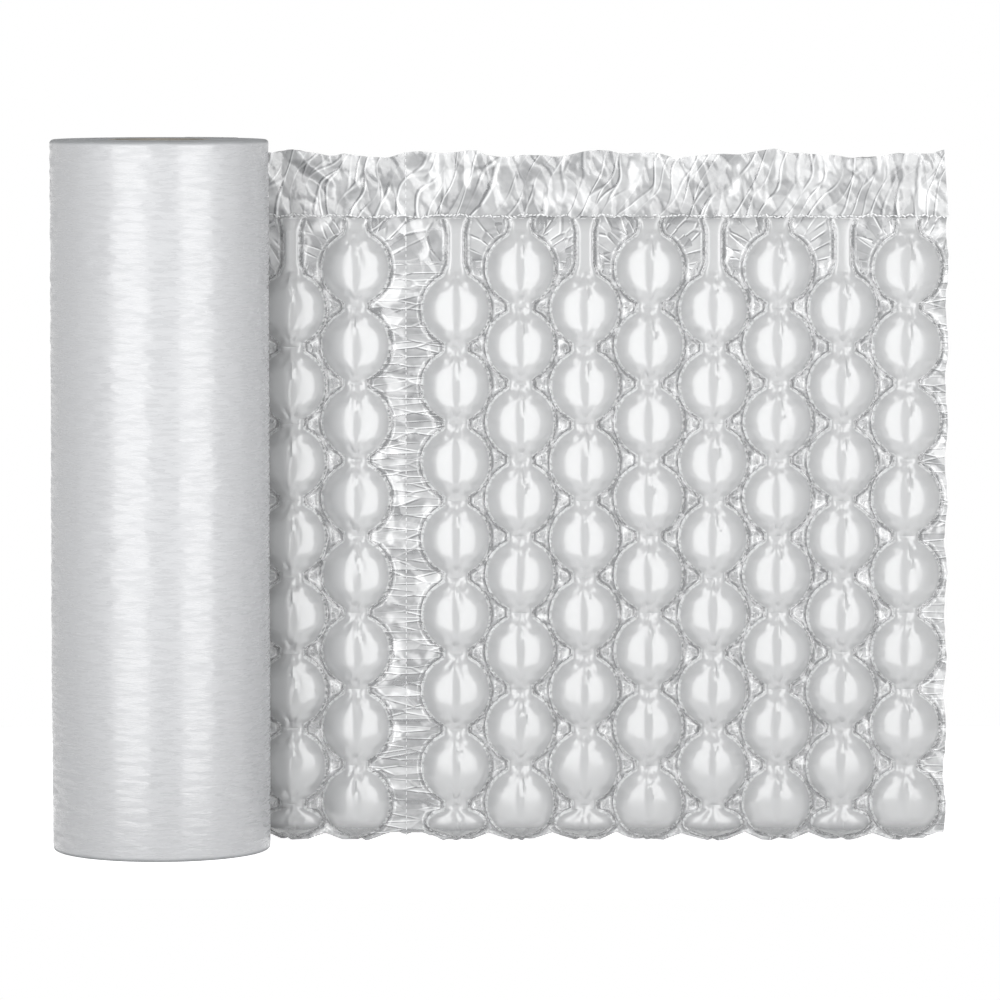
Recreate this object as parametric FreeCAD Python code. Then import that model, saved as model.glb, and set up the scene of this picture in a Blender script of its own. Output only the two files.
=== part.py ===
import FreeCAD, Part
import math
import os

from FreeCAD import Vector

# A roll of air-column cushion film that stands on its end.
# Its leading length is inflated into columns of air cells and stands beside it.
# Millimetres, +Z up, origin on the roll's axis at the floor.

# Wound roll
film_width = 400.0
roll_radius = 61.5
roll_edge_round = 2.5
turn_band_count = 3
turn_band_depth = 0.6

# Paper tube in its heart
tube_bore_radius = 25.4
tube_wall = 3.6

# Web, from where it lies on the roll to its far edge
web_thickness = 0.6
wrap_angle = 32.0
wrap_facet_count = 4
lead_bend_radius = 6.0
lead_bend_facet_count = 2
lead_angle = 5.0
lead_clearance = 2.8
lead_weld = 1.0
perforation_weld = 8.85
far_weld = 3.8
sheet_y = 29.5
columns_before_perforation = 2
columns_after_perforation = 8

# Heights of the inflated length, which draws in a little as its cells fill
width_shrink = 8.0
header_height = 35.3
short_inlet_length = 10.7
column_stagger = 23.0
hem_margin = 2.45

# Air cells and the necks between them
column_pitch = 36.5
cell_count = 8
side_weld = 4.1
cell_bulge = 3.3
cell_depth = 12.3
shoulder_length_share = 0.56
brow_share = 0.66
brow_depth_share = 0.70
neck_length = 4.05
neck_half_width = 7.4
neck_height = 4.5
neck_ridge_half_width = 3.6
last_cell_narrowing = 3.0
last_cell_depth = 8.0

# Inlets between the seal line and the first cells
inlet_end_gap = 1.5
mouth_half_width = 6.35
mouth_length = 9.0
channel_half_width = 4.9
channel_height = 3.6
channel_ridge_half_width = 2.6
valve_length = 7.0

# Loose header, hem and far edge
header_pleat_width = 12.0
header_flare = 5.0
header_wave = 2.6
header_wave_length = 92.0
header_end_pull = 3.0
hem_low = 1.0
hem_rise = 2.4
hem_flat_half_width = 8.5
edge_pull = 1.6

# Cell sizes and heights that follow from those above
tube_radius = tube_bore_radius + tube_wall
half_web = web_thickness / 2
header_top = film_width - width_shrink
seal_height = header_top - header_height
top_row_end = seal_height - short_inlet_length
cell_pitch = (top_row_end - hem_margin + neck_length) / cell_count
cell_half_length = (cell_pitch - neck_length) / 2
shoulder_half_width = (column_pitch - side_weld) / 2
cell_half_width = shoulder_half_width + cell_bulge

# Distances along the web, counted from the perforation, where it folds
first_column_from_fold = cell_half_width + perforation_weld
columns_before_length = (columns_before_perforation - 1) * column_pitch
columns_after_length = (columns_after_perforation - 1) * column_pitch
lead_length = first_column_from_fold + columns_before_length + cell_half_width + lead_weld
web_end = first_column_from_fold + columns_after_length + cell_half_width + far_weld

# Plan of the web: it lies on the roll, leaves it, bends into its lead and folds at the perforation
web_radius = roll_radius + half_web
lead_turn = math.radians(lead_angle)
lead_foot_y = sheet_y + lead_length * math.sin(lead_turn)
lead_foot_x = math.sqrt((web_radius + lead_clearance) ** 2 - lead_foot_y ** 2)
fold_x = lead_foot_x + lead_length * math.cos(lead_turn)


def make_tube():
    """Paper tube, cut square, as long as the film is wide."""
    return Part.makeCylinder(tube_radius, film_width).cut(Part.makeCylinder(tube_bore_radius, film_width))


def end_steps():
    """Radii and depths where the turns stand a little in or out of the roll's end."""
    band_width = (roll_radius - roll_edge_round - tube_radius) / turn_band_count
    steps = []
    for band in range(turn_band_count):
        inset = (turn_band_count - 1 - band) % 2
        depth = inset * turn_band_depth
        inner = tube_radius + band * band_width
        steps.append((inner, depth))
        steps.append((inner + band_width, depth))
    return steps


def make_film_roll():
    """All wound turns as one solid, with stepped ends and eased outer edges."""
    ease = roll_edge_round * (1 - math.cos(math.pi / 4))
    low_end = end_steps()
    low_end.append((roll_radius - ease, ease))
    low_end.append((roll_radius, roll_edge_round))
    profile = low_end + [(r, film_width - z) for r, z in reversed(low_end)]
    points = [Vector(r, 0, z) for r, z in profile]
    face = Part.Face(Part.makePolygon(points + points[:1]))
    return face.revolve(Vector(0, 0, 0), Vector(0, 0, 1), 360)


def from_rear(angle, radius):
    """Point in plan at an angle from the rear (+Y) towards the far edge (+X)."""
    return Vector(radius * math.sin(angle), radius * math.cos(angle), 0)


def plan_points():
    """Corners of the web's middle line in plan, from its tail on the roll to the far edge."""
    lead_foot = Vector(lead_foot_x, lead_foot_y, 0)
    bend_centre = lead_foot + from_rear(lead_turn, lead_bend_radius)
    reach = (web_radius + lead_bend_radius) / bend_centre.Length
    leave_turn = math.atan2(bend_centre.x, bend_centre.y) - math.acos(reach)
    facet_turn = math.radians(wrap_angle) / wrap_facet_count
    corner_radius = web_radius / math.cos(facet_turn / 2)
    points = [from_rear(leave_turn - wrap_facet_count * facet_turn, web_radius)]
    for step in range(wrap_facet_count, 0, -1):
        points.append(from_rear(leave_turn - (step - 0.5) * facet_turn, corner_radius))
    for step in range(lead_bend_facet_count + 1):
        turn = leave_turn + (lead_turn - leave_turn) * step / lead_bend_facet_count
        points.append(bend_centre - from_rear(turn, lead_bend_radius))
    points.append(Vector(fold_x, sheet_y, 0))
    points.append(Vector(fold_x + web_end, sheet_y, 0))
    return points


def web_corners():
    """The plan's corners, each with its distance along the web from the perforation."""
    points = plan_points()
    distances = [0.0]
    for point, next_point in zip(points, points[1:]):
        distances.append(distances[-1] + point.distanceToPoint(next_point))
    at_fold = distances[-2]
    return [(distance - at_fold, point) for distance, point in zip(distances, points)]


def corner_fronts(corners):
    """Front of each stretch, and the offset at each corner that keeps the web's thickness."""
    fronts = []
    for (u, spot), (next_u, next_spot) in zip(corners, corners[1:]):
        along = (next_spot - spot) / (next_u - u)
        fronts.append(Vector(along.y, -along.x, 0))
    mitres = [(a + b) / (1 + a.dot(b)) for a, b in zip(fronts, fronts[1:])]
    return fronts, [fronts[0]] + mitres + [fronts[-1]]


corners = web_corners()
panel_fronts, corner_offsets = corner_fronts(corners)
leaves_roll = corners[wrap_facet_count][0]
web_start = corners[-3][0]


def on_web(u, z, n):
    """Point at u along the web, z up, n out of its middle surface towards the front."""
    for (corner_u, corner), offset in zip(corners, corner_offsets):
        if abs(u - corner_u) < 1e-6:
            return Vector(corner.x + offset.x * n, corner.y + offset.y * n, z)
    panel = sum(1 for corner_u, corner in corners if corner_u < u) - 1
    (start_u, start), (end_u, end) = corners[panel], corners[panel + 1]
    front = panel_fronts[panel]
    place = start + (end - start) * ((u - start_u) / (end_u - start_u)) + front * n
    return Vector(place.x, place.y, z)


def flat_face(outline):
    """Plane face through points given as (u, z, n)."""
    points = [on_web(*point) for point in outline]
    return Part.Face(Part.makePolygon(points + points[:1]))


def split_quad(a, b, c, d):
    """Two triangles that fill a four-sided patch which is not plane."""
    return [flat_face([a, b, c]), flat_face([a, c, d])]


def mirrored(outline):
    """Close a right-hand outline, listed downwards, with its left-hand copy."""
    return outline + [(-across, z) for across, z in reversed(outline)]


class Cell:
    """One air cell: a ten-sided plan with a brow ring and an apex on each side of the web."""

    def __init__(self, height, half_length, narrowing, depth):
        self.height = height
        self.half_length = half_length
        self.half_width = cell_half_width - narrowing
        self.shoulder_half_width = shoulder_half_width - narrowing
        self.depth = depth
        self.brow_depth = depth * brow_depth_share

    def right_outline(self):
        """Right-hand outline from the top end to the bottom end."""
        drop = self.half_length * shoulder_length_share
        return [
            (neck_half_width, self.height + self.half_length),
            (self.shoulder_half_width, self.height + drop),
            (self.half_width, self.height),
            (self.shoulder_half_width, self.height - drop),
            (neck_half_width, self.height - self.half_length),
        ]

    def ridge_height(self, end_sign):
        """Height at which a neck's ridge meets the sloping facet at that end."""
        inward = (1 - brow_share) * neck_height / self.brow_depth
        return self.height + end_sign * self.half_length * (1 - inward)

    def faces(self, u, side, open_bottom):
        """Facets of the cap on one side of the web, which opens into a neck or inlet above."""
        base = mirrored(self.right_outline())
        count = len(base)
        skin = side * half_web
        brow = skin + side * self.brow_depth
        low = [(u + across, z, skin) for across, z in base]
        high = []
        for across, z in base:
            high_z = self.height + (z - self.height) * brow_share
            high.append((u + across * brow_share, high_z, brow))
        apex = (u, self.height, skin + side * self.depth)
        top_edge = count - 1
        bottom_edge = count // 2 - 1
        facets = []
        for i in range(count):
            j = (i + 1) % count
            corners = [low[i], low[j], high[j], high[i]]
            if i == top_edge:
                corners = self.notched(corners, u, side, 1)
            if i == bottom_edge and open_bottom:
                corners = self.notched(corners, u, side, -1)
            facets.append(flat_face(corners))
            facets.append(flat_face([high[i], high[j], apex]))
        return facets

    def notched(self, corners, u, side, end_sign):
        """End facet with the neck's section cut out of its lower edge."""
        first, second, third, fourth = corners
        ridge_z = self.ridge_height(end_sign)
        ridge_n = side * (half_web + neck_height)
        turn = 1 if second[0] > first[0] else -1
        notch = [
            (u - turn * neck_ridge_half_width, ridge_z, ridge_n),
            (u + turn * neck_ridge_half_width, ridge_z, ridge_n),
        ]
        return [first] + notch + [second, third, fourth]


class Column:
    """One column of the web: an inlet, its cells and the necks between them."""

    def __init__(self, u, long_inlet):
        self.u = u
        self.long_inlet = long_inlet
        first = top_row_end - cell_half_length - (column_stagger if long_inlet else 0)
        full_count = cell_count - (1 if long_inlet else 0)
        heights = [first - row * cell_pitch for row in range(full_count)]
        self.cells = [Cell(height, cell_half_length, 0, cell_depth) for height in heights]
        if long_inlet:
            top = heights[-1] - cell_half_length - neck_length
            middle = (top + hem_margin) / 2
            self.cells.append(Cell(middle, top - middle, last_cell_narrowing, last_cell_depth))

    def inlet_stations(self):
        """Half width, ridge half width and height of the inlet at each station, from the cell up."""
        start = self.cells[0].height + self.cells[0].half_length
        end = seal_height - inlet_end_gap
        stations = []
        if self.long_inlet:
            stations.append((channel_half_width, channel_ridge_half_width, start + valve_length))
            stations.append((channel_half_width, channel_ridge_half_width, end - mouth_length))
        return stations, end

    def outline(self):
        """Closed outline of the column's cavity in the web."""
        stations, end = self.inlet_stations()
        right = [(mouth_half_width, end)]
        for half_width, ridge, z in reversed(stations):
            right.append((half_width, z))
        for cell in self.cells:
            right += cell.right_outline()
        return [(self.u + across, z) for across, z in mirrored(right)]

    def inlet_faces(self, side):
        """Facets of the inlet, which rises out of the first cell and ends flat."""
        skin = side * half_web
        cell = self.cells[0]
        stations, end = self.inlet_stations()
        width = neck_half_width
        ridge = neck_ridge_half_width
        base_z = cell.height + cell.half_length
        ridge_z = cell.ridge_height(1)
        ridge_n = skin + side * neck_height
        facets = []
        for next_width, next_ridge, z in stations:
            next_n = skin + side * channel_height
            for hand in (-1, 1):
                facets += split_quad(
                    (self.u + hand * width, base_z, skin),
                    (self.u + hand * next_width, z, skin),
                    (self.u + hand * next_ridge, z, next_n),
                    (self.u + hand * ridge, ridge_z, ridge_n),
                )
            facets.append(flat_face([
                (self.u - ridge, ridge_z, ridge_n),
                (self.u + ridge, ridge_z, ridge_n),
                (self.u + next_ridge, z, next_n),
                (self.u - next_ridge, z, next_n),
            ]))
            width, ridge, base_z, ridge_z, ridge_n = next_width, next_ridge, z, z, next_n
        for hand in (-1, 1):
            facets.append(flat_face([
                (self.u + hand * width, base_z, skin),
                (self.u + hand * mouth_half_width, end, skin),
                (self.u + hand * ridge, ridge_z, ridge_n),
            ]))
        facets.append(flat_face([
            (self.u - ridge, ridge_z, ridge_n),
            (self.u + ridge, ridge_z, ridge_n),
            (self.u + mouth_half_width, end, skin),
            (self.u - mouth_half_width, end, skin),
        ]))
        return facets

    def neck_faces(self, upper, lower, side):
        """Three facets of the neck between two cells."""
        skin = side * half_web
        ridge_n = skin + side * neck_height
        high_z = upper.height - upper.half_length
        low_z = lower.height + lower.half_length
        high_ridge = upper.ridge_height(-1)
        low_ridge = lower.ridge_height(1)
        facets = []
        for hand in (-1, 1):
            high_base = (self.u + hand * neck_half_width, high_z, skin)
            low_base = (self.u + hand * neck_half_width, low_z, skin)
            low_top = (self.u + hand * neck_ridge_half_width, low_ridge, ridge_n)
            high_top = (self.u + hand * neck_ridge_half_width, high_ridge, ridge_n)
            facets.append(flat_face([high_base, low_base, low_top, high_top]))
        facets.append(flat_face([
            (self.u - neck_ridge_half_width, high_ridge, ridge_n),
            (self.u + neck_ridge_half_width, high_ridge, ridge_n),
            (self.u + neck_ridge_half_width, low_ridge, ridge_n),
            (self.u - neck_ridge_half_width, low_ridge, ridge_n),
        ]))
        return facets

    def faces(self, side):
        """Every facet of the column on one side of the web."""
        facets = self.inlet_faces(side)
        last = len(self.cells) - 1
        for row, cell in enumerate(self.cells):
            facets += cell.faces(self.u, side, row < last)
            if row < last:
                facets += self.neck_faces(cell, self.cells[row + 1], side)
        return facets


def make_columns():
    """Columns in order along the web, long and short inlets in turn from the perforation."""
    columns = []
    for step in range(columns_before_perforation):
        columns.insert(0, Column(-first_column_from_fold - step * column_pitch, step % 2 == 1))
    for step in range(columns_after_perforation):
        columns.append(Column(first_column_from_fold + step * column_pitch, step % 2 == 0))
    return columns


def freedom(u):
    """Share by which the web is free of the roll: 0 where it leaves it, 1 from its lead on."""
    return max(0.0, min(1.0, (u - leaves_roll) / (web_start - leaves_roll)))


def pleat_stations(start, end):
    """Evenly spaced places between two ends, about one pleat apart."""
    count = max(2, round((end - start) / header_pleat_width))
    return [start + (end - start) * i / count for i in range(count + 1)]


def header_edge_height(u):
    """Height of the header's wavy free edge, level with the roll's end where it leaves it."""
    wave = math.sin(2 * math.pi * u / header_wave_length)
    wave += 0.6 * math.sin(2 * math.pi * u / (header_wave_length * 0.37) + 1.0)
    return film_width + (header_wave * wave - width_shrink) * freedom(u)


def hem_edge_height(u):
    """Height of the hem between columns, level with the roll's end where it leaves it."""
    return (hem_low + hem_rise) * freedom(u)


def header_opening(u, index, side):
    """How far a flap's free edge stands out from the web's middle surface."""
    if index < 2:
        return 0.0
    pleat = 1.0 if (index + (side > 0)) % 2 else 0.25
    swell = 0.65 + 0.35 * math.sin(2 * math.pi * u / (header_wave_length * 1.3))
    return header_flare * pleat * swell


def header_faces(stations):
    """Two loose flaps above the seal line, pleated, which part after the first pleat."""
    last = len(stations) - 1
    facets = []
    for side in (-1, 1):
        skin = side * half_web
        feet = [(u, seal_height, skin) for u in stations]
        roots = [(u, seal_height, 0.0) for u in stations]
        inner = []
        for index, u in enumerate(stations):
            opening = side * header_opening(u, index, side)
            pull = header_end_pull if index == last else 0.0
            inner.append((u - pull, header_edge_height(u), opening))
        outer = [(u, z, n + skin) for u, z, n in inner]
        for i in range(last):
            facets += split_quad(feet[i], feet[i + 1], outer[i + 1], outer[i])
        for i in range(1, last):
            facets += split_quad(inner[i], outer[i], outer[i + 1], inner[i + 1])
            facets += split_quad(roots[i], roots[i + 1], inner[i + 1], inner[i])
        facets += split_quad(roots[last], feet[last], outer[last], inner[last])
    start_z = header_edge_height(stations[0])
    part_z = header_edge_height(stations[1])
    start_back, start_front = [(stations[0], start_z, n) for n in (-half_web, half_web)]
    part_back, part_middle, part_front = [(stations[1], part_z, n) for n in (-half_web, 0.0, half_web)]
    facets.append(flat_face([start_back, start_front, part_middle]))
    facets.append(flat_face([start_back, part_middle, part_back]))
    facets.append(flat_face([start_front, part_front, part_middle]))
    return facets


def hem_outline(start, end, columns):
    """Scalloped hem of one panel, low under each column and higher between them."""
    points = [(start, hem_edge_height(start))]
    for column in columns:
        points.append((column.u - hem_flat_half_width, hem_low))
        points.append((column.u + hem_flat_half_width, hem_low))
        between = column.u + column_pitch / 2
        points.append((between, hem_edge_height(between)))
    points[-1] = (end, hem_edge_height(end))
    return points


def far_edge():
    """Torn far edge, listed upwards, pulled in beside each cell of the last column."""
    steps = 2 * cell_count
    points = []
    for step in range(1, steps):
        z = seal_height * step / steps
        points.append((web_end - edge_pull * (step % 2), z))
    return points


def wire_on(outline, n):
    """Closed wire through (u, z) points at one distance from the middle surface."""
    points = [on_web(u, z, n) for u, z in outline]
    return Part.makePolygon(points + points[:1])


def make_web_faces(columns):
    """Front and back skins with a hole for each column, and the strips that close the edges."""
    facets = []
    for start, end in ((web_start, 0.0), (0.0, web_end)):
        inside = [column for column in columns if start < column.u < end]
        rim = hem_outline(start, end, inside)
        if end == web_end:
            rim += far_edge() + [(end, seal_height)]
        seal = [(u, seal_height) for u in reversed(pleat_stations(start, end))]
        outline = rim + [point for point in seal if point not in rim]
        for n in (-half_web, half_web):
            wires = [wire_on(outline, n)]
            wires += [wire_on(column.outline(), n) for column in inside]
            facets.append(Part.Face(wires))
        for (u, z), (next_u, next_z) in zip(rim, rim[1:]):
            facets += split_quad(
                (u, z, -half_web),
                (next_u, next_z, -half_web),
                (next_u, next_z, half_web),
                (u, z, half_web),
            )
    return facets


def plain_faces():
    """Skins of the plain film on the roll and across to the lead, in two rows at the seal."""
    spots = [u for u, spot in corners if u <= web_start]
    levels = [(hem_edge_height(u), seal_height, header_edge_height(u)) for u in spots]
    facets = []
    for i in range(len(spots) - 1):
        u, next_u = spots[i], spots[i + 1]
        for row in (0, 1):
            low, high = levels[i][row:row + 2]
            next_low, next_high = levels[i + 1][row:row + 2]
            for n in (-half_web, half_web):
                facets.append(flat_face([
                    (u, low, n),
                    (next_u, next_low, n),
                    (next_u, next_high, n),
                    (u, high, n),
                ]))
        for row in (0, 2):
            z, next_z = levels[i][row], levels[i + 1][row]
            facets += split_quad(
                (u, z, -half_web),
                (next_u, next_z, -half_web),
                (next_u, next_z, half_web),
                (u, z, half_web),
            )
    back = [(spots[0], z, -half_web) for z in levels[0]]
    front = [(spots[0], z, half_web) for z in reversed(levels[0])]
    facets.append(flat_face(back + front))
    return facets


def make_inflated_sheet():
    """The inflated length with its header, its cells and the lead back to the roll."""
    columns = make_columns()
    stations = pleat_stations(web_start, 0.0)[:-1] + pleat_stations(0.0, web_end)
    facets = make_web_faces(columns) + header_faces(stations) + plain_faces()
    for column in columns:
        for side in (-1, 1):
            facets += column.faces(side)
    skins = Part.makeCompound(facets)
    skins.sewShape()
    return Part.makeSolid(skins.Shells[0])


def main():
    """Build every node and write it to its own file."""
    os.makedirs("parts", exist_ok=True)
    nodes = {
        "core_tube": make_tube(),
        "film_roll": make_film_roll(),
        "inflated_sheet": make_inflated_sheet(),
    }
    for name, shape in nodes.items():
        shape.exportStep("parts/" + name + ".step")
        print(name, len(shape.Solids), round(shape.Volume), shape.BoundBox)


main()
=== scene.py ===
"""A roll of air-column cushion film: the wound stock, its paper tube and the inflated length beside it."""

import logging
import math
from dataclasses import dataclass, field
from enum import Enum

import bpy
import numpy as np
from mathutils import Euler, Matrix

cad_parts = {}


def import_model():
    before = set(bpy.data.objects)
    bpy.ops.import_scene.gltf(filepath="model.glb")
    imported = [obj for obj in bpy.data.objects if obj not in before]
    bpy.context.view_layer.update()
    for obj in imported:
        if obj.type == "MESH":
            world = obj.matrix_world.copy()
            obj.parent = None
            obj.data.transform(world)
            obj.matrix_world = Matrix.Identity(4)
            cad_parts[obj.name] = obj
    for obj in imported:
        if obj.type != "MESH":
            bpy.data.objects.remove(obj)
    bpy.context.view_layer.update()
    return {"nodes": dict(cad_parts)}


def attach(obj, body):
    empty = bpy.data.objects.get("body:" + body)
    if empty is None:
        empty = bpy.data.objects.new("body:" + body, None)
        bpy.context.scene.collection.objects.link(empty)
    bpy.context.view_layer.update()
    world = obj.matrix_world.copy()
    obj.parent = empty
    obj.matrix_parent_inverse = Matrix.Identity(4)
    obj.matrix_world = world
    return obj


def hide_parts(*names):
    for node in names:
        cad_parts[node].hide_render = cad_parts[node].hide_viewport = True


LOG = logging.getLogger("cushion_film")
MM = 0.001
Array = np.ndarray


def linear(code: str) -> tuple[float, float, float, float]:
    """Turn an sRGB hex colour into the linear colour that a shader socket takes.

    Args:
        code: six hex digits, with or without a leading hash.

    Returns:
        Red, green, blue and an alpha of one.
    """
    digits = code.lstrip("#")
    parts = [int(digits[i : i + 2], 16) / 255 for i in (0, 2, 4)]
    red, green, blue = [c / 12.92 if c <= 0.04045 else ((c + 0.055) / 1.055) ** 2.4 for c in parts]
    return red, green, blue, 1.0


def ramp(value: Array, low: float, high: float) -> Array:
    """Rise smoothly from 0 at low to 1 at high.

    Args:
        value: numbers to ease.
        low: where the rise starts.
        high: where it ends.

    Returns:
        The eased numbers.
    """
    t = np.clip((value - low) / (high - low), 0.0, 1.0)
    return t * t * (3 - 2 * t)


class FilmNoise:
    """Seeded gradient noise over a plane, for wrinkles that are the same on each run."""

    def __init__(self, seed: int, size: int = 128) -> None:
        """Draw the lattice's directions.

        Args:
            seed: number that fixes the pattern.
            size: lattice points along each side before the pattern repeats.
        """
        self.size = size
        self.angles = np.random.default_rng(seed).uniform(0, 2 * math.pi, (size, size))

    def smooth(self, x: Array, y: Array) -> Array:
        """Smooth noise from about -1 to 1.

        Args:
            x: first coordinate in lattice steps.
            y: second coordinate in lattice steps.

        Returns:
            Noise at each point.
        """
        col, row = np.floor(x).astype(int), np.floor(y).astype(int)
        fx, fy = x - col, y - row
        sx, sy = fx**3 * (fx * (fx * 6 - 15) + 10), fy**3 * (fy * (fy * 6 - 15) + 10)

        def corner(dx: int, dy: int) -> Array:
            """Slope value of one lattice corner."""
            turn = self.angles[(col + dx) % self.size, (row + dy) % self.size]
            return np.cos(turn) * (fx - dx) + np.sin(turn) * (fy - dy)

        low = corner(0, 0) * (1 - sx) + corner(1, 0) * sx
        high = corner(0, 1) * (1 - sx) + corner(1, 1) * sx
        return 1.55 * (low * (1 - sy) + high * sy)

    def creased(self, x: Array, y: Array) -> Array:
        """Noise with sharp folds where smooth noise crosses zero, from about -1 to 1."""
        return 1 - 2.6 * np.abs(self.smooth(x, y))

    def faceted(self, x: Array, y: Array) -> Array:
        """Flat facets that meet in sharp folds, as in crumpled film, from -1 to 1.

        Args:
            x: first coordinate, in facets.
            y: second coordinate, in facets.

        Returns:
            Height at each point.
        """
        x, y = x + 0.3 * self.smooth(x * 0.6, y * 0.6), y + 0.3 * self.smooth(x * 0.6 + 9, y * 0.6 + 4)
        col, row = np.floor(x).astype(int), np.floor(y).astype(int)
        fx, fy = x - col, y - row

        def knot(dx: int, dy: int) -> Array:
            """Height of one corner of the facets."""
            return self.angles[(col + dx) % self.size, (row + dy) % self.size] / math.pi - 1

        low = knot(0, 0) * (1 - fx - fy) + knot(1, 0) * fx + knot(0, 1) * fy
        high = knot(1, 1) * (fx + fy - 1) + knot(0, 1) * (1 - fx) + knot(1, 0) * (1 - fy)
        return np.where(fx + fy < 1, low, high)

    def wrinkled(self, x: Array, y: Array) -> Array:
        """Large facets broken up by smaller ones."""
        return 0.72 * self.faceted(x, y) + 0.28 * self.faceted(x * 2.2 + 7.3, y * 2.2 + 3.9)


class Slot(Enum):
    """Material slots of the pieces that are made here."""

    WOUND = "wound_film"
    INFLATED = "inflated_film"


class ShaderTree:
    """A material with a Principled shader and a short way to add nodes to it."""

    def __init__(self, name: str) -> None:
        """Make the material.

        Args:
            name: the material's name.
        """
        self.material = bpy.data.materials.new(name)
        self.material.use_nodes = True
        self.tree = self.material.node_tree
        self.tree.nodes.clear()
        self.output = self.tree.nodes.new("ShaderNodeOutputMaterial")
        self.shader = self.add("ShaderNodeBsdfPrincipled")
        self.tree.links.new(self.shader.outputs[0], self.output.inputs[0])

    def add(self, kind: str, settings: dict | None = None, **inputs: object) -> bpy.types.Node:
        """Add one node.

        Args:
            kind: the node's type name.
            settings: attributes of the node itself, set first.
            inputs: socket name, with underscores for spaces, to a value or an output socket.

        Returns:
            The node.
        """
        node = self.tree.nodes.new(kind)
        for key, value in (settings or {}).items():
            setattr(node, key, value)
        for key, value in inputs.items():
            index = int(key[2:]) if key.startswith("in") and key[2:].isdigit() else key.replace("_", " ")
            socket = node.inputs[index]
            if isinstance(value, bpy.types.NodeSocket):
                self.tree.links.new(value, socket)
            else:
                socket.default_value = value
        return node

    def compute(self, operation: str, *values: object) -> bpy.types.NodeSocket:
        """Add one math node.

        Args:
            operation: what the node works out.
            values: numbers or output sockets, in the order of its inputs.

        Returns:
            The node's output socket.
        """
        inputs = {f"in{index}": value for index, value in enumerate(values)}
        return self.add("ShaderNodeMath", {"operation": operation}, **inputs).outputs[0]

    def feed(self, name: str, value: object) -> None:
        """Set or link one socket of the Principled shader.

        Args:
            name: the socket's name.
            value: a value or an output socket.
        """
        socket = self.shader.inputs[name]
        if isinstance(value, bpy.types.NodeSocket):
            self.tree.links.new(value, socket)
        else:
            socket.default_value = value


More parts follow.
